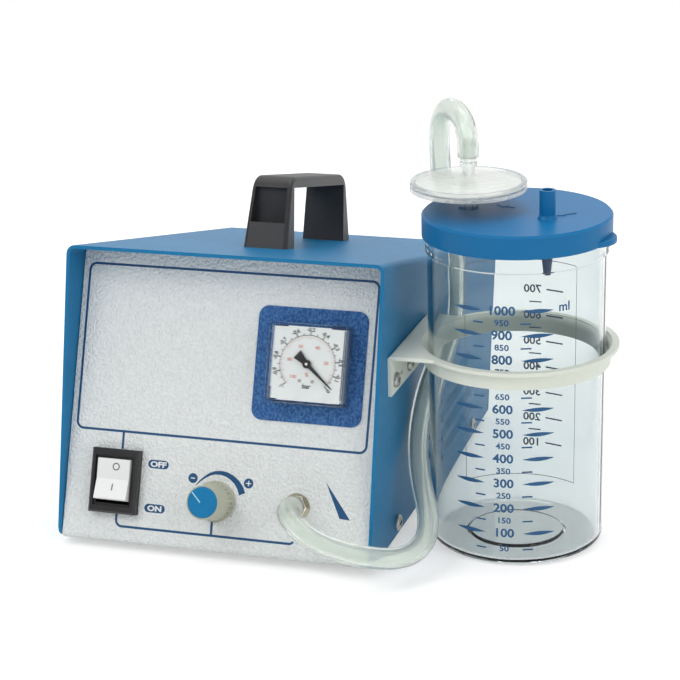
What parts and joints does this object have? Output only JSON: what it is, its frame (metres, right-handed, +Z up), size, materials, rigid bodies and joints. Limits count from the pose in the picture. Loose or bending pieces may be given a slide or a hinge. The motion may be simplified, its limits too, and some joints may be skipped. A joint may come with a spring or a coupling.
{
  "type": "vacuum aspirator",
  "caption": "Bench vacuum aspirator: sloping sheet-metal case with gauge, regulator knob and rocker switch, a clear collection jar in a side bracket, a filter and a silicone hose.",
  "frame": {"origin": "middle of the footprint on the bench, measured without the hose", "axes": "+X to the jar's side, +Y to the back of the case, +Z up; the front panel faces -Y"},
  "size_m": [0.3093, 0.3251, 0.2473],
  "materials": {
    "case_blue": "gloss enamel",
    "panel_silver": "leather-grain texture",
    "handle_black": "satin moulding",
    "foot_rubber": "matt",
    "screw_steel": "bright plated",
    "switch_black": "satin moulding",
    "rocker_ivory": "gloss moulding",
    "knob_grey": "satin, fluted",
    "knob_blue": "satin",
    "valve_brass": "turned",
    "shaft_steel": "turned",
    "gauge_plate_blue": "fine grain",
    "gauge_body": "satin",
    "dial_white": "printed",
    "needle_black": "matt",
    "crystal": "clear",
    "chrome": "bright plated",
    "bracket_white": "satin powder coat",
    "jar_clear": "clear moulding",
    "lid_blue": "satin moulding",
    "gasket_grey": "soft",
    "filter_clear": "milky moulding",
    "membrane_white": "felt",
    "hose_silicone": "translucent, satin",
    "lamination_steel": "oiled",
    "winding_copper": "enamelled wire",
    "cast_aluminium": "as cast",
    "fan_grey": "satin",
    "tube_clear": "soft",
    "plate_zinc": "zinc plated",
    "inlet_black": "satin"
  },
  "bodies": {
    "case": {"cover": "case_blue", "chassis": "panel_silver", "handle": "handle_black", "foot_1": "foot_rubber", "foot_2": "foot_rubber", "foot_3": "foot_rubber", "foot_4": "foot_rubber", "pump_mount_1": "foot_rubber", "pump_mount_2": "foot_rubber", "pump_mount_3": "foot_rubber", "pump_mount_4": "foot_rubber", "handle_screw_1": "screw_steel", "handle_screw_2": "screw_steel", "cover_screw_right_1": "screw_steel", "cover_screw_right_2": "screw_steel", "cover_screw_left_1": "screw_steel", "cover_screw_left_2": "screw_steel", "bracket_screw_1": "screw_steel", "bracket_screw_2": "screw_steel", "power_screw_1": "screw_steel", "power_screw_2": "screw_steel", "switch_housing": "switch_black", "regulator_valve": "valve_brass", "gauge_plate": "gauge_plate_blue", "gauge_case": "gauge_body", "gauge_dial": "dial_white", "gauge_crystal": "crystal", "inlet_nipple": "chrome", "inlet_nut": "chrome", "jar_bracket": "bracket_white", "hose": "hose_silicone", "pump_plate": "plate_zinc", "motor_stator": "lamination_steel", "motor_coil_left": "winding_copper", "motor_coil_right": "winding_copper", "motor_shield_left": "cast_aluminium", "motor_shield_right": "cast_aluminium", "pump_housing": "cast_aluminium", "pump_head": "cast_aluminium", "suction_tube": "tube_clear", "exhaust_tube": "tube_clear", "power_inlet": "inlet_black", "fuse_holder": "inlet_black", "exhaust_silencer": "inlet_black"},
    "rocker": {"rocker": "rocker_ivory"},
    "knob": {"knob_body": "knob_grey", "knob_cap": "knob_blue", "regulator_shaft": "shaft_steel"},
    "needle": {"gauge_needle": "needle_black"},
    "rotor": {"motor_rotor": "lamination_steel", "motor_fan": "fan_grey"},
    "jar": {"jar": "jar_clear"},
    "lid": {"lid": "lid_blue", "lid_gasket": "gasket_grey", "filter_lower_shell": "filter_clear", "filter_upper_shell": "filter_clear", "filter_membrane": "membrane_white"}
  },
  "joints": [
    {"name": "rocker_tip", "type": "hinge", "parent": "case", "child": "rocker", "pos_m": [-0.11815, -0.12695, 0.03752], "axis": [1, 0, 0], "range_deg": [0, 14]},
    {"name": "knob_turn", "type": "hinge", "parent": "case", "child": "knob", "pos_m": [-0.05765, -0.13089, 0.03269], "axis": [0, 0.9367, -0.3502], "range_deg": [0, 109]},
    {"name": "needle_swing", "type": "hinge", "parent": "case", "child": "needle", "pos_m": [-0.00755, -0.10266, 0.10819], "axis": [0, -0.9367, 0.3502], "range_deg": [-6, 263], "stiffness_Nm_per_rad": 0.001},
    {"name": "motor_spin", "type": "hinge", "parent": "case", "child": "rotor", "pos_m": [-0.05665, 0.02357, 0.0725], "axis": [1, 0, 0], "continuous": true},
    {"name": "jar_lift", "type": "slide", "parent": "case", "child": "jar", "axis": [0, 0, 1], "range_m": [0, 0.12], "deforming": ["hose"]},
    {"name": "lid_lift", "type": "slide", "parent": "jar", "child": "lid", "axis": [0, 0, 1], "range_m": [0, 0.03]}
  ]
}
